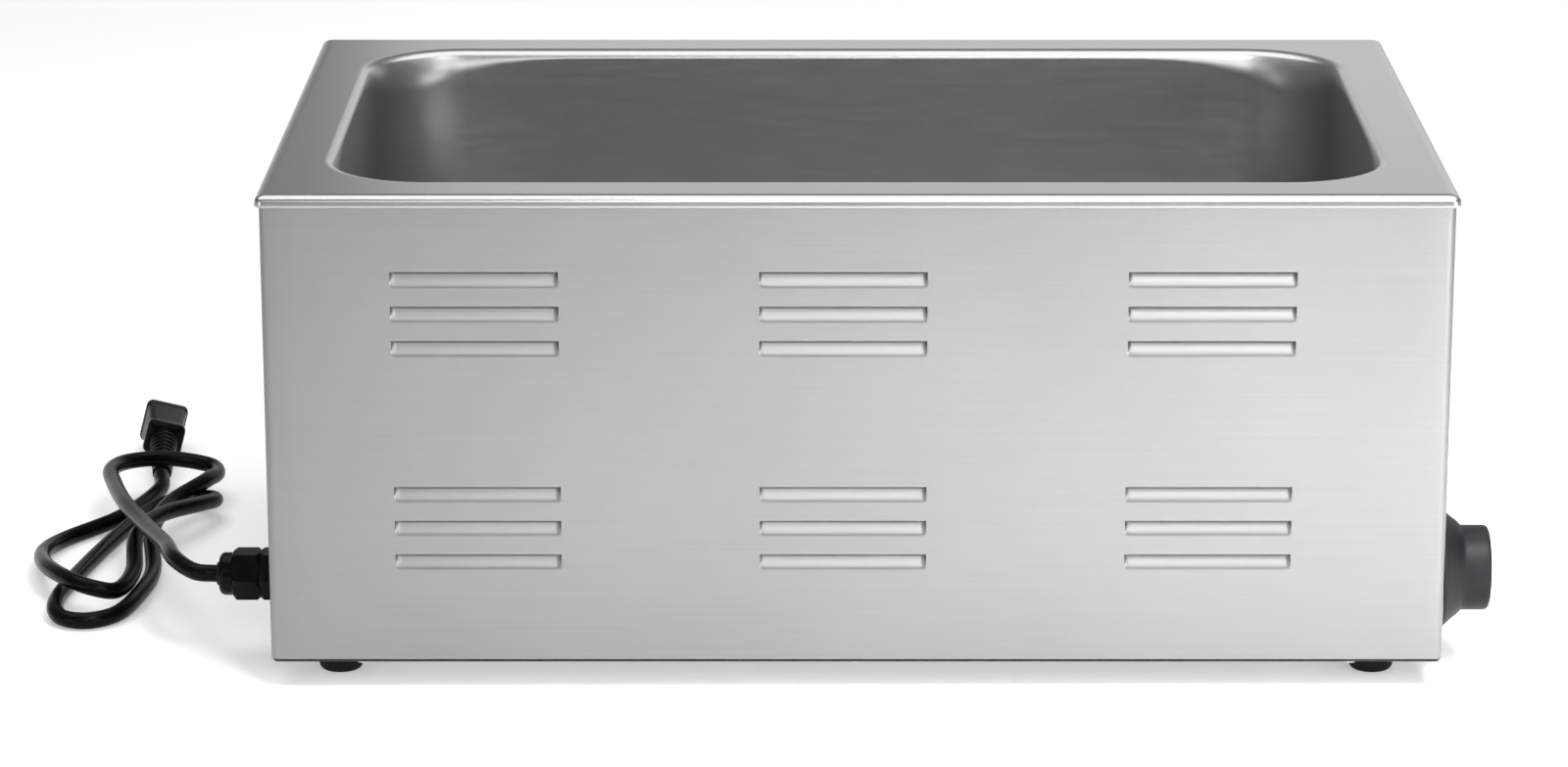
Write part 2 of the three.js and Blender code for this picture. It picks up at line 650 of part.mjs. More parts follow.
function wiring() {
  const blockEnd = BLOCK.x[1] + GAP;
  const z = DECK + 12;
  const pitch = BLOCK.depth / 3;
  const tabX = THERMOSTAT.back - 8 - GAP;
  const tabPitch = 11.5;
  const limitX = ELEMENT.end + 10;
  const limitZ = PAN_UNDERSIDE - GAP - 18 - GAP;
  const pinX = ELEMENT.end + GAP;
  const pinZ = PAN_UNDERSIDE - GAP - ELEMENT.radius;
  const live = [
    [blockEnd, GLAND.y - pitch, z], [-175, GLAND.y - pitch, z], [-150, -146, 25], [0, -152, 24],
    [180, -152, 25], [222, -150, 38], [232, KNOB.y - tabPitch, KNOB.z], [tabX, KNOB.y - tabPitch, KNOB.z],
  ];
  const neutral = [
    [blockEnd, GLAND.y, z], [-175, GLAND.y, z], [-140, -100, 24], [-60, 0, 24], [100, 80, 25],
    [215, 94, 32], [231, 92, 52], [229, ELEMENT.outer, pinZ], [pinX, ELEMENT.outer, pinZ],
  ];
  const switched = [
    [tabX, KNOB.y + tabPitch, KNOB.z], [232, KNOB.y + tabPitch, KNOB.z], [218, -100, 34], [216, -50, 28],
    [222, -12, 34], [limitX, -5, 52], [limitX, -5, limitZ],
  ];
  const limit = [
    [limitX, 5, limitZ], [limitX, 5, 52], [236, -6, 40], [243, -50, 42],
    [242, -84, 58], [230, -ELEMENT.outer, pinZ], [pinX, -ELEMENT.outer, pinZ],
  ];
  const earth = [
    [blockEnd, GLAND.y + pitch, z], [-178, GLAND.y + pitch, z], [-172, -98, 25], [-182, -72, 22],
    [-196, -60, DECK + GAP + 3.6], [-200.6, -60, DECK + GAP + 3.6],
  ];
  return group(
    wire('wire_live', live, 'live'),
    wire('wire_neutral', neutral, 'neutral'),
    wire('wire_switched', switched, 'switched'),
    wire('wire_limit', limit, 'switched'),
    wire('wire_earth', earth, 'earth'),
  );
}

// The jacketed lead inside the gland and the base, up to the terminal block.
function cordTail() {
  const mouth = -WALL_X - GLAND.reach;
  const route = smoothCurve([
    [mouth + 0.3, GLAND.y, GLAND.z], [mouth + 20, GLAND.y, GLAND.z], [mouth + 42, GLAND.y, GLAND.z],
    [BLOCK.x[0] - 20, GLAND.y, GLAND.z - 2], [BLOCK.x[0] - 8, GLAND.y, 32], [BLOCK.x[0] - GAP, GLAND.y, 31.5],
  ]);
  return part('cord_tail', tube(route, CORD.radius, CORD.sides, 20), 'cord');
}

function powerCord() {
  return part('power_cord', tube(smoothCurve(CORD_ROUTE), CORD.radius, CORD.sides, CORD.steps), 'cord');
}

// Built along +Y from the back of its body, then rolled on to one edge of its flange. Its neck
// droops to meet the lead on the worktop.
function plug() {
  const { degToRad } = THREE.MathUtils;
  const bodyLength = 32;
  const flangeThickness = 4;
  const face = bodyLength + flangeThickness;
  const blade = { x: 6.35, half: 0.75, bottom: 0.8, top: 7.2, root: face - 5, tip: face + 16 };
  const pin = { z: -7.4, radius: 2.4, length: 23 };
  const stand = (geometry) => geometry.rotateX(-Math.PI / 2);
  const flangeOutline = roundedRectangle(PLUG.flange, PLUG.flangeHeight, 3.5);
  const core = stand(roundedSlab(roundedRectangle(18.5, 17, 3), 0, bodyLength + 1, 0.8, 1, 2));
  const flange = stand(roundedSlab(flangeOutline, bodyLength, face, 0.6, 1, 3));
  const neck = turned([
    [0, -NECK.length], [NECK.thin, -NECK.length], [NECK.thin + 0.4, 1 - NECK.length],
    [NECK.thick - 0.3, -10], [NECK.thick, -3], [NECK.thick, 2], [0, 2],
  ], 20).rotateX(degToRad(NECK.droop));
  const bladeSlot = (x) => box(
    x - blade.half - GAP, x + blade.half + GAP, blade.root, face + REACH, blade.bottom - GAP, blade.top + GAP,
  );
  const pinHole = stand(post(pin.radius + GAP, blade.root, face + REACH, 0, -pin.z, 16));
  const body = cut(join([core, flange, neck]), [bladeSlot(-blade.x), bladeSlot(blade.x), pinHole]);
  const bladeBar = (x) => box(
    x - blade.half, x + blade.half, blade.root + GAP, blade.tip, blade.bottom, blade.top,
  );
  const pinBar = turned([
    [0, 0], [pin.radius, 0], [pin.radius, pin.length - 3], [1.6, pin.length - 0.5], [0, pin.length],
  ], 14).translate(0, blade.root + GAP, pin.z);
  const assembly = group(
    part('plug_body', body, 'cord'),
    part('plug_blade_line', bladeBar(-blade.x), 'nickel'),
    part('plug_blade_neutral', bladeBar(blade.x), 'nickel'),
    part('plug_ground_pin', pinBar, 'nickel'),
  );
  assembly.rotation.set(0, degToRad(PLUG.roll), degToRad(PLUG.yaw), 'ZYX');
  assembly.position.set(PLUG.x, PLUG.y, PLUG.z);
  return assembly;
}

function electrics() {
  return group(
    gland(),
    terminalBlock(),
    terminalBlockScrew(),
    earthPost(),
    wiring(),
    cordTail(),
    powerCord(),
    plug(),
  );
}

// ----------------------------------------------------------------------------------- assembly

const foodWarmer = group(
  outerShell(),
  wellPan(),
  basePlate(),
  insulationWrap(),
  feetAndFasteners(),
  heating(),
  thermostat(),
  electrics(),
);

export default foodWarmer;
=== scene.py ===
"""Countertop food warmer: the looks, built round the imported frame.

The scene is in metres. The driving dimensions and the outlines are in millimetres, which
make_piece() scales, and their angles are in degrees.
"""

import json
import math

import bmesh
import bpy
from mathutils import Matrix, Vector


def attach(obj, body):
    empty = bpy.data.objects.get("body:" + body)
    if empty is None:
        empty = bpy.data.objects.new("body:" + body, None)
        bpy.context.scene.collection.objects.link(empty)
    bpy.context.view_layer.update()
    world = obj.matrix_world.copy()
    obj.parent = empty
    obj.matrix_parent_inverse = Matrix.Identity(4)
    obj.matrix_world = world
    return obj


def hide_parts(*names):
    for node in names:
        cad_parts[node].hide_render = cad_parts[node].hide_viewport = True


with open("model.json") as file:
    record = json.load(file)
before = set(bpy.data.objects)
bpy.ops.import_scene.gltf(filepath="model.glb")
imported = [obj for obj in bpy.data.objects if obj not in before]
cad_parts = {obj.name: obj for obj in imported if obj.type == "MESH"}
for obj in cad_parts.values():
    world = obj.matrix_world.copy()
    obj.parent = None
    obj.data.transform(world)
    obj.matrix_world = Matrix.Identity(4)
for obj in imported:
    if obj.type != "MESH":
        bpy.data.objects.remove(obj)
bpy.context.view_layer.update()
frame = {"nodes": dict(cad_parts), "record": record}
MM = 0.001

# ------------------------------------------------------------------------ driving dimensions

SHEET = 1.2 * MM
# The lip is a hem of small radius, a face that leans back, and a crown that is a quarter ellipse.
RIM = {
    "length": 574, "depth": 370, "top": 248, "lip": 6, "corner": 4.5,
    "hem": 0.9, "hem_return": 1.9, "hem_rise": 1.5, "lean": 8, "crown": 6.0, "crown_height": 3.2,
}
BODY = {
    "length": 570, "depth": 366, "bottom": 15.5, "top": 245, "corner": 4.5, "flange": 18, "fold": 0.6,
}
# The mouth bends tightly by "roll", wider by "spill" on the long sides, down to the angle "ease".
# The second bend has the radius "easing", plus "swell" in the corners, within "reach" of them.
# The walls start "brim" below the rim and lean in by "draft", plus "flare" in the corners.
WELL = {
    "length": 510, "depth": 300, "floor": 83.2, "corner": 48, "heel": 20, "roll": 4.6,
    "spill": 3.0, "ease": 60, "easing": 3, "swell": 33, "reach": 42, "brim": 26,
    "draft": 1.5, "flare": 10,
}
FOOT = {"x": 254, "y": 147, "top": 12, "bottom": 10.8, "height": 13.7}
LOUVRE = {
    "length": 80.4, "height": 8, "pitch": 17, "inset": 3.2, "end": 2.2, "blunt": 0.7, "fold": 1.8,
    "rows": 3,
}
LOUVRE_COLUMNS = [-183, -6.7, 169.6]
LOUVRE_TOPS = [210.3, 103.4]
KNOB = {"x": 285, "y": -138, "z": 48.8, "skirt": 30, "grip": 21, "length": 26.2, "dish": 0.6}
GLAND = {"x": -285, "y": -127, "z": 42, "hex": 13.4, "dome": 10.7, "reach": 30}
# "collar" is how far along the plug the painted shade on the collar and the neck reaches.
PLUG = {
    "x": -384, "y": 209, "z": 13.9, "roll": 15, "yaw": 7, "flange": 23.5, "height": 24, "collar": 5.5,
}
NECK = {"length": 48, "thick": 7.3, "thin": 5.2, "droop": 7, "ribs": 9}
CORD_RADIUS = 4.3 * MM

# Centre line of the free lead, from the gland to the back of the plug, chosen one by one.
CORD_ROUTE = [
    (-315.9, -127, 42), (-328, -125.2, 42.6), (-340, -107, 43.8), (-349, -72, 40.5),
    (-366, -17, 33.5), (-384, 40, 28.5), (-397, 94, 23.6), (-402, 124, 21.6),
    (-395, 144, 20.4), (-375, 155, 18.8), (-353.5, 155, 15.4), (-346.5, 140, 15.2),
    (-350.5, 118, 17), (-366, 81, 15), (-370, 40, 12.4), (-364, -8, 5.8),
    (-367, -48, 5), (-374, -77, 4.8), (-388, -88, 4.6), (-402, -82, 5),
    (-407, -60, 6), (-403, -14, 5), (-391, 56, 4.6), (-378, 106, 4.8),
    (-363, 120, 6), (-349.5, 115, 8.4), (-343.5, 101, 11.4), (-349, 82, 15),
    (-366, 44, 20.2), (-374, 8, 19.5), (-371.5, -27, 12), (-376, -56, 10.8),
    (-388, -62, 13.8), (-402, -52, 15.6), (-417, -22, 13), (-424.5, 18, 7.5),
    (-418, 50, 4.8), (-393, 92, 4.6), (-379, 140, 5), (-379.7, 160.9, 8),
]

# ------------------------------------------------------------------------------------ camera

CAMERA_TILT = 15.51

camera_data = bpy.data.cameras.new("camera")
camera_data.sensor_width = 36
camera_data.lens = 119.3
camera_data.shift_x = -0.0176
camera_data.clip_end = 50
camera = bpy.data.objects.new("camera", camera_data)
camera.location = (-0.0219, -2.5829, 0.8213)
camera.rotation_euler = (math.radians(90 - CAMERA_TILT), 0, 0)
bpy.context.collection.objects.link(camera)
bpy.context.scene.camera = camera

# --------------------------------------------------------------------------- material helpers

NOISE_LOW, NOISE_HIGH = 0.3, 0.7  # most of a noise texture's values lie between these


def new_material(name):
    material = bpy.data.materials.new(name)
    material.use_nodes = True
    nodes = material.node_tree.nodes
    return material, nodes, material.node_tree.links, nodes["Principled BSDF"]


def object_space(nodes, links, scale):
    """Object coordinates stretched by a scale for each axis."""
    coordinates = nodes.new("ShaderNodeTexCoord")
    mapping = nodes.new("ShaderNodeMapping")
    mapping.inputs["Scale"].default_value = scale
    links.new(coordinates.outputs["Object"], mapping.inputs["Vector"])
    return mapping.outputs["Vector"]


def noise(nodes, links, vector, scale, detail=3.0, roughness=0.5):
    texture = nodes.new("ShaderNodeTexNoise")
    texture.inputs["Scale"].default_value = scale
    texture.inputs["Detail"].default_value = detail
    texture.inputs["Roughness"].default_value = roughness
    links.new(vector, texture.inputs["Vector"])
    return texture.outputs["Fac"]


def spread(nodes, links, value, low, high):
    """Maps a noise value on to a range."""
    node = nodes.new("ShaderNodeMapRange")
    node.inputs["From Min"].default_value = NOISE_LOW
    node.inputs["From Max"].default_value = NOISE_HIGH
    node.inputs["To Min"].default_value = low
    node.inputs["To Max"].default_value = high
    links.new(value, node.inputs["Value"])
    return node.outputs["Result"]


def tint(nodes, links, value, dark, light):
    """Maps a noise value on to a range of colours."""
    ramp = nodes.new("ShaderNodeValToRGB")
    for element, position, colour in zip(
            ramp.color_ramp.elements, (NOISE_LOW, NOISE_HIGH), (dark, light)):
        element.position = position
        element.color = (*colour, 1)
    links.new(value, ramp.inputs["Fac"])
    return ramp.outputs["Color"]


def bump(nodes, links, height, strength, distance):
    node = nodes.new("ShaderNodeBump")
    node.inputs["Strength"].default_value = strength
    node.inputs["Distance"].default_value = distance
    links.new(height, node.inputs["Height"])
    return node.outputs["Normal"]


def brushed_metal(name, dark, light, roughness, grain, depth=0.00003):
    """Metal with fine streaks: grain is the texture scale along X, Y and Z, low along the brushing."""
    material, nodes, links, shader = new_material(name)
    shader.inputs["Metallic"].default_value = 1.0
    streaks = noise(nodes, links, object_space(nodes, links, grain), 1.0, 4.0, 0.6)
    clouds = noise(nodes, links, object_space(nodes, links, (1, 1, 1)), 9.0, 2.0)
    cloud_share = 0.35
    mix = nodes.new("ShaderNodeMath")
    mix.operation = "MULTIPLY_ADD"
    mix.inputs[1].default_value = cloud_share
    links.new(clouds, mix.inputs[0])
    scaled = nodes.new("ShaderNodeMath")
    scaled.operation = "MULTIPLY"
    scaled.inputs[1].default_value = 1 - cloud_share
    links.new(streaks, scaled.inputs[0])
    links.new(scaled.outputs[0], mix.inputs[2])
    links.new(tint(nodes, links, mix.outputs[0], dark, light), shader.inputs["Base Color"])
    low, high = roughness
    links.new(spread(nodes, links, streaks, low, high), shader.inputs["Roughness"])
    links.new(bump(nodes, links, streaks, 0.35, depth), shader.inputs["Normal"])
    return material


def moulded(name, dark, light, roughness, pebble=900.0, shine=0.5):
    """Moulded plastic or rubber: a fine pebbled skin with faint cloudy wear."""
    material, nodes, links, shader = new_material(name)
    vector = object_space(nodes, links, (1, 1, 1))
    skin = noise(nodes, links, vector, pebble, 2.0)
    clouds = noise(nodes, links, vector, 38.0, 4.0, 0.6)
    links.new(tint(nodes, links, clouds, dark, light), shader.inputs["Base Color"])
    low, high = roughness
    links.new(spread(nodes, links, clouds, low, high), shader.inputs["Roughness"])
    links.new(bump(nodes, links, skin, 0.4, 0.00004), shader.inputs["Normal"])
    shader.inputs["Specular IOR Level"].default_value = shine
    return material


def plated(name, dark, light, roughness, scale):
    """Plated or bare metal without a grain: soft blotches of the given scale."""
    material, nodes, links, shader = new_material(name)
    shader.inputs["Metallic"].default_value = 1.0
    vector = object_space(nodes, links, (1, 1, 1))
    clouds = noise(nodes, links, vector, scale, 5.0, 0.65)
    links.new(tint(nodes, links, clouds, dark, light), shader.inputs["Base Color"])
    low, high = roughness
    links.new(spread(nodes, links, clouds, low, high), shader.inputs["Roughness"])
    links.new(bump(nodes, links, clouds, 0.15, 0.00005), shader.inputs["Normal"])
    return material


def felt(name, dark, light):
    """Loose glass fibre: long tangled strands over soft lumps."""
    material, nodes, links, shader = new_material(name)
    strands = noise(nodes, links, object_space(nodes, links, (60, 900, 500)), 1.0, 6.0, 0.7)
    links.new(tint(nodes, links, strands, dark, light), shader.inputs["Base Color"])
    shader.inputs["Roughness"].default_value = 0.95
    links.new(bump(nodes, links, strands, 0.8, 0.0008), shader.inputs["Normal"])
    return material


MATERIALS = {
    "brushed_steel": brushed_metal(
        "brushed_steel", (0.243, 0.243, 0.245), (0.277, 0.277, 0.280), (0.34, 0.42), (14, 500, 2200)),
    "end_steel": brushed_metal(
        "end_steel", (0.243, 0.243, 0.245), (0.277, 0.277, 0.280), (0.34, 0.42), (500, 14, 2200)),
    "rim_steel": brushed_metal(
        "rim_steel", (0.42, 0.42, 0.423), (0.45, 0.45, 0.453), (0.28, 0.31), (16, 420, 900), 0.000004),
    # The well's walls: a darker, rougher copy of the rim's steel. Its darker colour is painted shade inside
    # the well.
    "shaded_well_steel": brushed_metal(
        "shaded_well_steel", (0.35, 0.35, 0.352), (0.375, 0.375, 0.378), (0.35, 0.39), (30, 300, 300), 0.000004),
    "dull_steel": plated("dull_steel", (0.40, 0.40, 0.41), (0.52, 0.52, 0.53), (0.34, 0.5), 120),
    "zinc_plate": plated("zinc_plate", (0.62, 0.62, 0.60), (0.78, 0.78, 0.77), (0.22, 0.38), 260),
    "nickel": plated("nickel", (0.66, 0.63, 0.58), (0.80, 0.78, 0.73), (0.16, 0.28), 180),
    "brass": plated("brass", (0.58, 0.42, 0.17), (0.76, 0.58, 0.28), (0.22, 0.36), 150),
    "foot_rubber": moulded(
        "foot_rubber", (0.004, 0.004, 0.004), (0.010, 0.010, 0.010), (0.5, 0.7), shine=0.15),
    "knob_plastic": moulded(
        "knob_plastic", (0.009, 0.009, 0.010), (0.019, 0.019, 0.020), (0.42, 0.55), 1400, shine=0.13),
    "cord_jacket": moulded(
        "cord_jacket", (0.0015, 0.0015, 0.0015), (0.004, 0.004, 0.004), (0.24, 0.32), 700, shine=0.07),
    "plug_vinyl": moulded(
        "plug_vinyl", (0.005, 0.005, 0.005), (0.010, 0.010, 0.010), (0.36, 0.46), shine=0.2),
    "black_nylon": moulded(
        "black_nylon", (0.0015, 0.0015, 0.0015), (0.004, 0.004, 0.004), (0.24, 0.32), 1200, shine=0.08),
    "bakelite": moulded("bakelite", (0.024, 0.014, 0.010), (0.050, 0.030, 0.022), (0.3, 0.45)),
    "ceramic": moulded("ceramic", (0.66, 0.62, 0.54), (0.80, 0.77, 0.70), (0.6, 0.8), 500),
    "glass_fibre": felt("glass_fibre", (0.50, 0.44, 0.22), (0.84, 0.79, 0.58)),
    "white_mark": moulded("white_mark", (0.72, 0.72, 0.70), (0.84, 0.84, 0.82), (0.4, 0.5)),
    "wire_black": moulded("wire_black", (0.014, 0.014, 0.014), (0.028, 0.028, 0.028), (0.35, 0.5)),
    "wire_white": moulded("wire_white", (0.70, 0.70, 0.68), (0.82, 0.82, 0.80), (0.35, 0.5)),
    "wire_green": moulded("wire_green", (0.02, 0.16, 0.04), (0.04, 0.26, 0.06), (0.35, 0.5)),
    "wire_red": moulded("wire_red", (0.36, 0.03, 0.02), (0.52, 0.05, 0.04), (0.35, 0.5)),
}

# ------------------------------------------------------------------------------- mesh helpers

MERGE_DISTANCE = 0.00001
SHORTEST_EDGE = 0.000005


def make_piece(name, vertices, faces, material, smooth, body="housing", replaces=()):
    """A mesh piece from millimetre points, shaded smooth up to an edge angle in degrees."""
    mesh = bpy.data.meshes.new(name)
    mesh.from_pydata([tuple(c * MM for c in point) for point in vertices], [], faces)
    work = bmesh.new()
    work.from_mesh(mesh)
    bmesh.ops.remove_doubles(work, verts=work.verts, dist=MERGE_DISTANCE)
    bmesh.ops.dissolve_degenerate(work, edges=work.edges, dist=SHORTEST_EDGE)
    bmesh.ops.recalc_face_normals(work, faces=work.faces)
    work.to_mesh(mesh)
    work.free()
    mesh.materials.append(MATERIALS[material])
    mesh.shade_smooth()
    mesh.set_sharp_from_angle(angle=math.radians(smooth))
    piece = bpy.data.objects.new(name, mesh)
    bpy.context.collection.objects.link(piece)
    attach(piece, body)
    if replaces:
        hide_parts(*replaces)
    return piece


def loft(rings, close_start=False, close_end=False):
    """Joins closed rings of equal counts with quads, and caps the ends where asked."""
    count = len(rings[0])
    vertices = [point for ring in rings for point in ring]
    faces = []
    for row in range(len(rings) - 1):
        for index in range(count):
            after = (index + 1) % count
            faces.append((
                row * count + index, row * count + after,
                (row + 1) * count + after, (row + 1) * count + index,
            ))
    if close_start:
        faces.append(tuple(range(count)))
    if close_end:
        faces.append(tuple((len(rings) - 1) * count + index for index in range(count)))
    return vertices, faces


def rounded_ring(length, depth, radius, z, steps, spans):
    """A level rounded rectangle, its straights split so that long faces stay even."""
    x = length / 2 - radius
    y = depth / 2 - radius
    points = []
    for quarter, (cx, cy) in enumerate([(x, -y), (x, y), (-x, y), (-x, -y)]):
        start = (quarter - 1) * math.pi / 2
        for step in range(steps + 1):
            angle = start + step / steps * math.pi / 2
            points.append((cx + radius * math.cos(angle), cy + radius * math.sin(angle), z))
        last = points[-1]
        next_angle = start + math.pi / 2
        nx, ny = [(x, y), (-x, y), (-x, -y), (x, -y)][quarter]
        target = (nx + radius * math.cos(next_angle), ny + radius * math.sin(next_angle), z)
        for span in range(1, spans):
            part = span / spans
            points.append(tuple(a + (b - a) * part for a, b in zip(last, target)))
    return points


def arc(cx, cy, radius, start, end, steps):
    """Points of an arc in a plane."""
    result = []
    for step in range(steps + 1):
        angle = math.radians(start + (end - start) * step / steps)
        result.append((cx + radius * math.cos(angle), cy + radius * math.sin(angle)))
    return result


def lathe(profile, sides):
    """Turns (radius, height) pairs about the local +Z axis. On-axis ends close by themselves."""
    rings = []
    for radius, height in profile:
        rings.append([
            (radius * math.cos(2 * math.pi * i / sides), radius * math.sin(2 * math.pi * i / sides), height)
            for i in range(sides)
        ])
    return loft(rings)


def moved(vertices, matrix):
    """Points put through a matrix."""
    return [tuple(matrix @ Vector(point)) for point in vertices]


def thicken(piece, thickness, smooth):
    """Gives a sheet its thickness, inwards, with its cut edges left sharp."""
    modifier = piece.modifiers.new("thickness", "SOLIDIFY")
    modifier.thickness = thickness
    modifier.offset = -1.0
    modifier.use_even_offset = True
    apply_modifiers(piece)
    piece.data.shade_smooth()
    piece.data.set_sharp_from_angle(angle=math.radians(smooth))


def apply_modifiers(piece):
    graph = bpy.context.evaluated_depsgraph_get()
    evaluated = bpy.data.meshes.new_from_object(piece.evaluated_get(graph))
    old = piece.data
    piece.modifiers.clear()
    piece.data = evaluated
    evaluated.name = old.name
    bpy.data.meshes.remove(old)


# ------------------------------------------------------------------------------ cord and plug


def power_cord():
    """The lead as one smooth curve: each handle lies along the chord of the two neighbours."""
    data = bpy.data.curves.new("mains_lead", "CURVE")
    data.dimensions = "3D"
    data.bevel_depth = CORD_RADIUS
    data.bevel_resolution = 6
    data.resolution_u = 14
    data.use_fill_caps = True
    spline = data.splines.new("BEZIER")
    spline.bezier_points.add(len(CORD_ROUTE) - 1)
    points = [Vector(point) * MM for point in CORD_ROUTE]
    for index, (knot, point) in enumerate(zip(spline.bezier_points, points)):
        before = points[max(index - 1, 0)]
        after = points[min(index + 1, len(points) - 1)]
        reach = (after - before) / (3 if index in (0, len(points) - 1) else 6)
        knot.co = point
        knot.handle_left_type = knot.handle_right_type = "FREE"
        knot.handle_left = point - reach
        knot.handle_right = point + reach
    data.materials.append(MATERIALS["cord_jacket"])
    lead = bpy.data.objects.new("mains_lead", data)
    bpy.context.collection.objects.link(lead)
    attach(lead, "housing")
    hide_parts("power_cord")
    return lead


def plug_place():
    place = Matrix.Translation((PLUG["x"], PLUG["y"], PLUG["z"]))
    yaw = Matrix.Rotation(math.radians(PLUG["yaw"]), 4, "Z")
    roll = Matrix.Rotation(math.radians(PLUG["roll"]), 4, "Y")
    return place @ yaw @ roll


def plug_section(width, height, radius, y):
    """One cross-section of the moulded plug at a distance along its length."""
    return [(x, y, z) for x, z, _ in rounded_ring(width, height, radius, 0, 6, 2)]


def plug_neck():
    """The ribbed neck, which widens towards the plug and droops from it."""
    length, thick, thin, ribs = NECK["length"], NECK["thick"], NECK["thin"], NECK["ribs"]
    profile = [(0.0, -length), (4.5, -length), (thin, 0.5 - length)]
    start = 3 - length
    pitch = (-3 - start) / ribs
    rib_outline = [(0.1, 0), (0.2, 0.25), (0.55, 0.25), (0.65, 0), (0.75, -0.75), (0.95, -0.75)]
    for rib in range(ribs):
        radius = thin + (thick - thin) * (rib / (ribs - 1))
        profile += [(radius + swell, start + rib * pitch + part * pitch) for part, swell in rib_outline]
    profile += [(thick, -2.6), (thick, 1.0), (0.0, 1.0)]
    vertices, faces = lathe(profile, 48)
    droop = Matrix.Rotation(math.radians(NECK["droop"]), 4, "X")
    upright = Matrix.Rotation(math.radians(-90), 4, "X")
    return moved(vertices, droop @ upright), faces


def plug_shell():
    """The moulded body: a collar, a waist, a taper up to the flange, and the neck behind. Its collar and
    neck take the darker, duller cord material as painted shade.
    """
    flange, height = PLUG["flange"], PLUG["height"]
    sections = [
        (13, 11, 3, -0.3), (18.6, 16.6, 3.2, 0), (20.6, 18.6, 3.4, 0.6), (21.2, 19.2, 3.4, 1.6),
        (21.2, 19.2, 3.4, 4.4), (20.6, 18.6, 3.4, 5.2), (18.6, 17, 3, 5.8), (18.5, 17, 3, 11),
        (18.9, 17.4, 3, 13), (21.6, 22, 3.2, 27.5), (22.2, 22.8, 3.3, 31.2), (23.1, 23.6, 3.5, 31.6),
        (flange, height, 3.5, 32.2), (flange, height, 3.5, 35.2),
        (flange - 1, height - 1, 3.2, 36), (flange - 9, height - 9, 2, 36),
    ]
    vertices, faces = loft([plug_section(*section) for section in sections], True, True)
    neck_vertices, neck_faces = plug_neck()
    count = len(vertices)
    vertices = vertices + neck_vertices
    faces = faces + [tuple(count + i for i in face) for face in neck_faces]
    shell = make_piece(
        "plug_moulding", moved(vertices, plug_place()), faces, "plug_vinyl", replaces=["plug_body"],
        smooth=38)
    shell.data.materials.append(MATERIALS["cord_jacket"])
    # Painted shade: the collar and the neck get the darker, duller cord material in place of the plug's own
    # vinyl.
    inverse = plug_place().inverted()
    for face in shell.data.polygons:
        if (inverse @ (face.center / MM)).y < PLUG["collar"]:
            face.material_index = 1
    return shell


lead = power_cord()
plug = plug_shell()

# ------------------------------------------------------------------------------- outer casing


def wall_stops(half, breaks, span):
    """Positions across a wall: every break, with the stretches between split to a span."""
    marks = sorted({-half, half, *breaks})
    stops = []
    for low, high in zip(marks, marks[1:]):
        pieces = max(1, round((high - low) / span))
        stops += [low + (high - low) * i / pieces for i in range(pieces)]
    return stops + [half]


WALL_SPAN, WALL_RISE = 14, 12  # about the size of the plain wall's faces
TOUCH = 1e-6  # how near a line counts as on it
# Distances from a louvre's end, and up from its foot, where the wall's grid has a line.
LOUVRE_END_STEPS = [-1.8, -0.7, 0, 0.35, 0.8, 1.3, 1.9, 2.6, 3.4, 4.3, 5.4, 7]
LOUVRE_RISE_STEPS = [-1.8, -0.7, 0, 0.5, 1, 1.6, 2.4, 3.6, 5, 6.5, 8, 8.7, 9.6]


def louvre_marks():
    """Where the wall's grid has to be fine: across each louvre's ends, and up each row."""
    across = []
    for x in LOUVRE_COLUMNS:
        half = LOUVRE["length"] / 2
        for step in LOUVRE_END_STEPS:
            across += [x - half + step, x + half - step]
    up = []
    for top in LOUVRE_TOPS:
        for row in range(LOUVRE["rows"]):
            bottom = top - row * LOUVRE["pitch"] - LOUVRE["height"]
            up += [bottom + step for step in LOUVRE_RISE_STEPS]
    return across, up


def louvre_depth(x, z):
    """How far the wall is pressed in at a point, and whether the point is on a louvre's top edge."""
    half = LOUVRE["length"] / 2
    for column in LOUVRE_COLUMNS:
        side = half - abs(x - column)
        if side <= TOUCH:
            continue
        for top in LOUVRE_TOPS:
            for row in range(LOUVRE["rows"]):
                slot_top = top - row * LOUVRE["pitch"]
                rise = z - (slot_top - LOUVRE["height"])
                if -TOUCH <= rise <= LOUVRE["height"] + TOUCH:
                    fold = LOUVRE["fold"]
                    slope = math.hypot(max(rise, 0), fold) - fold
                    slope /= math.hypot(LOUVRE["height"], fold) - fold
                    end = math.sin(math.pi / 2 * min(side / LOUVRE["end"], 1)) ** LOUVRE["blunt"]
                    return LOUVRE["inset"] * slope * end, abs(rise - LOUVRE["height"]) < TOUCH
    return 0.0, False


def long_wall(turn):
    """A long side wall with its louvres pressed in; turn 1 is the front, -1 the same wall at the rear."""
    half = BODY["length"] / 2 - BODY["corner"]
    face = BODY["depth"] / 2
    across_marks, up_marks = louvre_marks()
    across = wall_stops(half, across_marks, WALL_SPAN)
    low, high = BODY["bottom"] + BODY["fold"], BODY["top"]
    middle_height = (low + high) / 2
    up = [z + middle_height for z in wall_stops(
        (high - low) / 2, [mark - middle_height for mark in up_marks], WALL_RISE)]
    vertices, faces = [], []
    place = {}

    def vertex(x, z, pressed):
        depth, on_edge = louvre_depth(x, z)
        key = (x, z, pressed and on_edge)
        if key not in place:
            shift = depth if (pressed or not on_edge) else 0.0
            place[key] = len(vertices)
            vertices.append((turn * x, turn * (-face + shift), z))
        return place[key]

    for z0, z1 in zip(up, up[1:]):
        for x0, x1 in zip(across, across[1:]):
            middle, _ = louvre_depth((x0 + x1) / 2, (z0 + z1) / 2)
            pressed = middle > 0
            faces.append((
                vertex(x0, z0, pressed), vertex(x1, z0, pressed),
                vertex(x1, z1, pressed), vertex(x0, z1, pressed),
            ))
    return vertices, faces, across, up


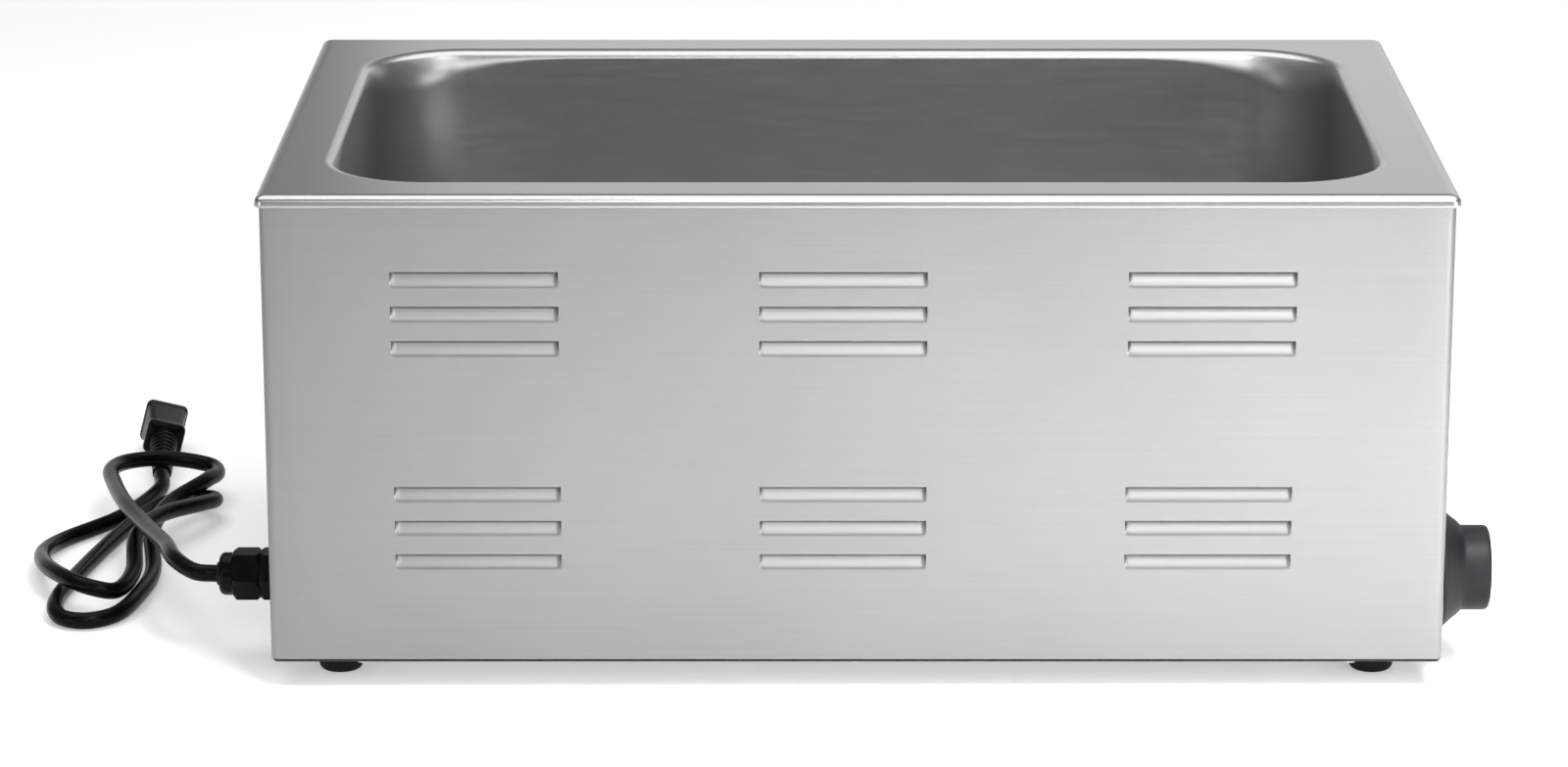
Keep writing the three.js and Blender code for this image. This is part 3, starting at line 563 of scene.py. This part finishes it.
def fold_path(up):
    """The wall's section from its top to the edge of the bottom flange: (inset, height) pairs."""
    fold = BODY["fold"]
    bottom = BODY["bottom"]
    path = [(0.0, z) for z in reversed(up)]
    path += [(fold - x, bottom + fold + y) for x, y in arc(0, 0, fold, 180, 270, 4)[1:]]
    path += [(inset, bottom) for inset in (6, 12, BODY["flange"])]
    return path


def end_wall_and_corners(side, up):
    """The short wall at one end with both its folded corners and its bottom flange."""
    radius = BODY["corner"]
    x = BODY["length"] / 2 - radius
    y = BODY["depth"] / 2 - radius
    corner_steps, spans = 6, 20
    columns = [(side * (x + px), -y + py) for px, py in arc(0, 0, radius, -90, 0, corner_steps)]
    columns += [(side * (x + radius), -y + 2 * y * i / spans) for i in range(1, spans)]
    columns += [(side * (x + px), y + py) for px, py in arc(0, 0, radius, 0, 90, corner_steps)]
    return wall_strip(columns, fold_path(up))


def wall_strip(columns, path):
    """Sweeps the wall's section round a run of plan points, folding inwards at the bottom."""
    limit_x = BODY["length"] / 2
    limit_y = BODY["depth"] / 2
    vertices, faces = [], []
    for x, y in columns:
        for inset, z in path:
            bound_x = limit_x - inset
            bound_y = limit_y - inset
            vertices.append((max(-bound_x, min(bound_x, x)), max(-bound_y, min(bound_y, y)), z))
    rows = len(path)
    for column in range(len(columns) - 1):
        for row in range(rows - 1):
            a = column * rows + row
            faces.append((a, a + rows, a + rows + 1, a + 1))
    return vertices, faces


def outer_casing():
    """Four walls folded in at the bottom. The end walls have a material brushed along their own width."""
    vertices, faces = [], []

    def add(part):
        base = len(vertices)
        vertices.extend(part[0])
        faces.extend(tuple(base + i for i in face) for face in part[1])

    for turn in (1, -1):
        points, quads, across, up = long_wall(turn)
        add((points, quads))
        columns = [(turn * x, -turn * BODY["depth"] / 2) for x in across]
        add(wall_strip(columns, fold_path(up[:1])))
    for side in (-1, 1):
        add(end_wall_and_corners(side, up))
    crease = 42
    shell = make_piece(
        "casing", vertices, faces, "brushed_steel", replaces=["outer_shell"], smooth=crease)
    thicken(shell, SHEET, crease)
    shell.data.materials.append(MATERIALS["end_steel"])
    end_wall = BODY["length"] / 2 * MM - 2 * SHEET
    for face in shell.data.polygons:
        if abs(face.normal.x) > 0.8 and abs(face.center.x) > end_wall:
            face.material_index = 1


# --------------------------------------------------------------------------------- well and rim


WELL_STEPS, WELL_SPANS = 16, 24  # faces round a corner, and along a straight side
ROLL_STEPS, EASE_STEPS = 12, 10


def rim_ring(inset, z):
    """The rim's outline drawn in by an inset."""
    radius = max(RIM["corner"] - inset * 0.8, 0.4)
    length, depth = RIM["length"] - 2 * inset, RIM["depth"] - 2 * inset
    return rounded_ring(length, depth, radius, z, WELL_STEPS, WELL_SPANS)


def lip_rings():
    """The rim's edge from its hem up the leaning face and over the crown to the flat."""
    top, hem, crown, rise = RIM["top"], RIM["hem"], RIM["crown"], RIM["crown_height"]
    level = top - RIM["lip"] + hem
    lean = math.tan(math.radians(RIM["lean"]))
    behind = RIM["hem_return"] * hem
    rings = [rim_ring(behind, level + RIM["hem_rise"]), rim_ring(behind, level)]
    rings += [rim_ring(hem - x, level + y) for x, y in arc(0, 0, hem, 200, 360 + RIM["lean"], 9)]
    set_back = (top - rise - level) * lean
    start = math.degrees(math.atan(lean * rise / crown))
    for x, y in arc(0, 0, 1, start, 90, 14):
        rings.append(rim_ring(set_back + crown * (1 - x), top - rise * (1 - y)))
    rings.append(rim_ring(set_back + crown + 0.8, top))
    return rings


def roll_path(ny, turn):
    """The mouth's section from the rim down, as (inwards, depth): a tight bend, then an easing one.

    ny is the wall's outward normal along Y, and turn its nearness to a corner, from 0 to 1.
    """
    width, height = WELL["roll"] + WELL["spill"] * abs(ny), WELL["roll"]
    ease = math.radians(WELL["ease"])
    last = math.atan(height / (width * math.tan(ease)))
    flats, flat_share = 2, 0.3
    path = []
    for step in range(-flats, ROLL_STEPS + 1):
        angle = math.pi / 2 + (last - math.pi / 2) * max(step, 0) / ROLL_STEPS
        before = min(step, 0) * flat_share * width
        path.append((before + width * math.cos(angle) - width, height * (1 - math.sin(angle))))
    inwards, depth = path[-1]
    radius = WELL["easing"] + WELL["swell"] * turn
    for step in range(1, EASE_STEPS + 1):
        angle = ease + (math.pi / 2 - ease) * step / EASE_STEPS
        path.append((inwards + radius * (math.sin(angle) - math.sin(ease)),
                     depth + radius * (math.cos(ease) - math.cos(angle))))
    return path


def mouth_plan():
    """Each point round the well's wall, with its outward normal, nearness to a corner and section."""
    length, depth, corner = WELL["length"], WELL["depth"], WELL["corner"]
    wall = rounded_ring(length, depth, corner, 0, WELL_STEPS, WELL_SPANS)
    outer = rounded_ring(length + 2, depth + 2, corner + 1, 0, WELL_STEPS, WELL_SPANS)
    inset = corner * (1 - math.sqrt(0.5))
    corner_x = length / 2 - inset
    corner_y = depth / 2 - inset
    plan = []
    for (x, y, _), (ox, oy, _) in zip(wall, outer):
        away = math.hypot(abs(x) - corner_x, abs(y) - corner_y) / WELL["reach"]
        turn = math.exp(-away * away)
        plan.append((x, y, ox - x, oy - y, turn, roll_path(oy - y, turn)))
    return plan


def wall_ring(plan, share, shrink, z):
    """A ring on the wall or the heel: the walls lean in as they go down, the corners most."""
    points = []
    for x, y, nx, ny, turn, path in plan:
        inward = path[-1][0] + share * (WELL["draft"] + WELL["flare"] * turn) + shrink
        points.append((x - nx * inward, y - ny * inward, z))
    return points


def floor_ring(shrink):
    """A ring on the flat floor, its corners tighter towards the middle."""
    length, depth = WELL["length"] - 2 * shrink, WELL["depth"] - 2 * shrink
    return rounded_ring(length, depth, 28 - shrink * 0.15, WELL["floor"], WELL_STEPS, WELL_SPANS)


def well():
    """One pressing: the lip, the flat rim, the rolled mouth, the walls, the heel and the floor."""
    top, floor, heel = RIM["top"], WELL["floor"], WELL["heel"]
    plan = mouth_plan()
    rings = lip_rings()
    for row in range(len(plan[0][-1])):
        rings.append([
            (x - nx * path[row][0], y - ny * path[row][0], top - path[row][1])
            for x, y, nx, ny, _, path in plan])
    brim, foot = top - WELL["brim"], floor + heel
    for share in (0.0, 0.1, 0.25, 0.5, 0.75):
        rings.append(wall_ring(plan, share, 0, brim + (foot - brim) * share))
    rings += [wall_ring(plan, 1, heel - x, foot - y) for x, y in arc(0, 0, heel, 0, 90, 10)]
    rings += [floor_ring(shrink) for shrink in (45, 80, 120)]
    vertices, faces = loft(rings, False, True)
    pan = make_piece("well_and_rim", vertices, faces, "rim_steel", replaces=["well_pan"],
                     smooth=50)
    pan.data.materials.append(MATERIALS["shaded_well_steel"])
    edge = 10  # the lip and the start of the flat keep the rim's own material
    inner_x = (RIM["length"] / 2 - edge) * MM
    inner_y = (RIM["depth"] / 2 - edge) * MM
    # Painted shade: the steep faces inside the rim, from the mouth's bend down the walls to the heel, take
    # the darker copy of the rim's steel.
    for face in pan.data.polygons:
        inside = abs(face.center.x) < inner_x and abs(face.center.y) < inner_y
        if inside and face.normal.z < 0.6:
            face.material_index = 1


# ----------------------------------------------------------------------------------- small parts


def feet():
    """Four rubber feet, each with a hollow from below for its screw."""
    top, bottom, height = FOOT["top"], FOOT["bottom"], FOOT["height"]
    round_edge = 3
    profile = [(0, 8), (4.6, 8), (5, 7.6), (5, 0.5), (5.4, 0)]
    profile += [(bottom - round_edge + x, round_edge + y) for x, y in arc(0, 0, round_edge, -90, -8, 8)]
    profile += [(top - 0.3, height - 3.2), (top, height - 2.6), (top, height - 0.6),
                (top - 0.5, height), (0, height)]
    for name, sx, sy in (("front_left", -1, -1), ("front_right", 1, -1),
                         ("rear_left", -1, 1), ("rear_right", 1, 1)):
        vertices, faces = lathe(profile, 56)
        place = Matrix.Translation((sx * FOOT["x"], sy * FOOT["y"], 0))
        make_piece("rubber_" + name, moved(vertices, place), faces, "foot_rubber",
                   replaces=["foot_" + name], smooth=35)


def dial_knob():
    """The control knob: a flared skirt, a grip with a soft front edge and a dished face."""
    skirt, grip, length, dish = KNOB["skirt"], KNOB["grip"], KNOB["length"], KNOB["dish"]
    profile = [(0, 21), (grip - 2.5, 21), (grip - 2.5, 12), (skirt - 4.4, 2.6), (skirt - 2.4, 1.5)]
    profile += [(skirt - 0.7, 1.2), (skirt, 1.7), (skirt, 2.6), (skirt - 0.5, 3.4)]
    profile += [(skirt - 2.2, 5.2), (skirt - 4.4, 7.6), (grip + 2.2, 10.8), (grip + 0.5, 12.2),
                (grip + 0.05, 13.2)]
    profile += [(grip, 15), (grip, length - 3.4), (grip - 0.1, length - 2.2)]
    profile += [(grip - 2.1 + x, length - 2 + y) for x, y in arc(0, 0, 2, 15, 90, 6)]
    profile += [(grip - 3.4, length), (grip - 3.9, length - dish / 4),
                (grip - 4.3, length - dish), (0, length - dish)]
    vertices, faces = lathe(profile, 96)
    along_x = Matrix.Rotation(math.radians(90), 4, "Y")
    place = Matrix.Translation((KNOB["x"], KNOB["y"], KNOB["z"])) @ along_x
    make_piece("control_knob", moved(vertices, place), faces, "knob_plastic",
               body="dial", replaces=["knob"], smooth=35)


RING_POINTS = 24


def hexagon(radius, x):
    """A six-sided ring about the gland's axis, with points between its corners."""
    points = []
    steps = RING_POINTS // 6
    for side in range(6):
        a = math.radians(60 * side)
        b = math.radians(60 * side + 60)
        for step in range(steps):
            part = step / steps
            y = math.cos(a) * (1 - part) + math.cos(b) * part
            z = math.sin(a) * (1 - part) + math.sin(b) * part
            points.append((x, GLAND["y"] + radius * y, GLAND["z"] + radius * z))
    return points


def blend_ring(hex_ring, limit):
    """Pulls the corners of a hexagon in to a circle, as a chamfered nut has them."""
    centre = Vector((hex_ring[0][0], GLAND["y"], GLAND["z"]))
    result = []
    for point in hex_ring:
        arm = Vector(point) - centre
        if arm.length > limit:
            arm *= limit / arm.length
        result.append(tuple(centre + arm))
    return result


def round_ring(radius, x):
    """A round ring about the gland's axis."""
    points = []
    for index in range(RING_POINTS):
        angle = math.radians(360 / RING_POINTS * index)
        points.append((x, GLAND["y"] + radius * math.cos(angle), GLAND["z"] + radius * math.sin(angle)))
    return points


def gland_pieces():
    """The nylon gland: a body hexagon on the wall, a domed cap nut and its rubber seal."""
    hexa = GLAND["hex"]
    wall = GLAND["x"] - 0.3
    body = [blend_ring(hexagon(hexa, wall), hexa), blend_ring(hexagon(hexa, wall - 7.6), hexa),
            blend_ring(hexagon(hexa, wall - 9), hexa * 0.9), round_ring(9.6, wall - 9.02),
            round_ring(9.6, wall - 13)]
    vertices, faces = loft(body, True, True)
    make_piece("gland_base", vertices, faces, "black_nylon", replaces=["gland_body"], smooth=25)
    near = wall - 9.4
    mouth = GLAND["x"] - GLAND["reach"]
    dome = GLAND["dome"]
    rings = [round_ring(9.9, near), blend_ring(hexagon(hexa, near), hexa * 0.9),
             blend_ring(hexagon(hexa, near - 1.2), hexa), blend_ring(hexagon(hexa, mouth + 8.6), hexa),
             blend_ring(hexagon(hexa, mouth + 7.2), hexa * 0.88)]
    rings += [round_ring(dome + 0.9, mouth + 7.1), round_ring(dome, mouth + 6.4),
              round_ring(dome, mouth + 3.4)]
    rings += [round_ring(dome - 3 + x, mouth + 3 - y) for x, y in arc(0, 0, 3, 10, 90, 6)]
    rings += [round_ring(6.4, mouth), round_ring(6.1, mouth + 0.6), round_ring(6.1, mouth + 3)]
    vertices, faces = loft(rings, True, True)
    make_piece("gland_cap", vertices, faces, "black_nylon", replaces=["gland_cap_nut"], smooth=25)
    seal = [(4.35, -2.0), (5.9, -2.0), (5.9, 0.6), (5.4, 1.3), (4.7, 1.5), (4.32, 1.2), (4.32, -1.8)]
    vertices, faces = lathe(seal + seal[:1], 40)
    outwards = Matrix.Rotation(math.radians(-90), 4, "Y")
    place = Matrix.Translation((mouth, GLAND["y"], GLAND["z"])) @ outwards
    make_piece("gland_seal", moved(vertices, place), faces, "foot_rubber", smooth=40)


outer_casing()
well()
feet()
dial_knob()
gland_pieces()

# --------------------------------------------------------------------- carried-over CAD pieces

SLOTS = {entry["node"]: entry["material_slot"] for entry in frame["record"]["subparts"]}
for node, piece in frame["nodes"].items():
    piece.data.materials.clear()
    piece.data.materials.append(MATERIALS[SLOTS[node]])

# -------------------------------------------------------------------------- floor, light, world

bpy.ops.mesh.primitive_plane_add(size=30, location=(0, 0, 0))
floor = bpy.context.object
floor.name = "floor"
floor_material, _, _, floor_shader = new_material("floor")
floor_shader.inputs["Base Color"].default_value = (0.75, 0.75, 0.75, 1)
floor_shader.inputs["Roughness"].default_value = 0.9
floor_shader.inputs["Emission Color"].default_value = (1, 1, 1, 1)
floor_shader.inputs["Emission Strength"].default_value = 0.36
floor.data.materials.append(floor_material)


def area_light(name, location, target, width, height, power, spread=180):
    data = bpy.data.lights.new(name, "AREA")
    data.shape = "RECTANGLE"
    data.size = width
    data.size_y = height
    data.energy = power
    data.spread = math.radians(spread)
    light = bpy.data.objects.new(name, data)
    light.location = location
    direction = Vector(target) - Vector(location)
    light.rotation_euler = direction.to_track_quat("-Z", "Y").to_euler()
    light.visible_camera = False
    bpy.context.collection.objects.link(light)


# Name, place, the point it aims at, width, height, watts and, for one, the spread in degrees.
area_light("overhead", (0.0, 0.4, 2.0), (0, 0.4, 0), 3.2, 1.8, 38)
area_light("front_pool", (0.55, -0.95, 1.35), (0.48, -0.7, 0), 0.9, 0.8, 18, 75)
area_light("front_soft", (0.0, -2.7, 1.45), (0, 0, 0.15), 0.45, 0.95, 13.5)
area_light("left_soft", (-1.25, -2.2, 1.55), (0, 0, 0.2), 0.6, 0.6, 3)
area_light("right_soft", (1.2, -2.3, 1.6), (0, 0, 0.2), 0.8, 0.8, 11)
area_light("right_low", (1.7, -1.7, 0.36), (0, 0, 0.15), 1.3, 0.6, 14)
area_light("left_low", (-1.7, -1.5, 0.36), (0, 0, 0.15), 0.8, 0.6, 4)
area_light("back_right", (0.86, 2.2, 0.72), (0.22, 0, 0.2), 2.75, 0.85, 6.4)
area_light("back_left", (-1.3, 2.4, 0.3), (-0.2, 0, 0.2), 1.6, 0.5, 1.8)

world = bpy.data.worlds.new("studio")
world.use_nodes = True
background = world.node_tree.nodes["Background"]
background.inputs["Color"].default_value = (1, 1, 1, 1)
background.inputs["Strength"].default_value = 0.22
bpy.context.scene.world = world
bpy.context.scene.view_settings.view_transform = "Standard"
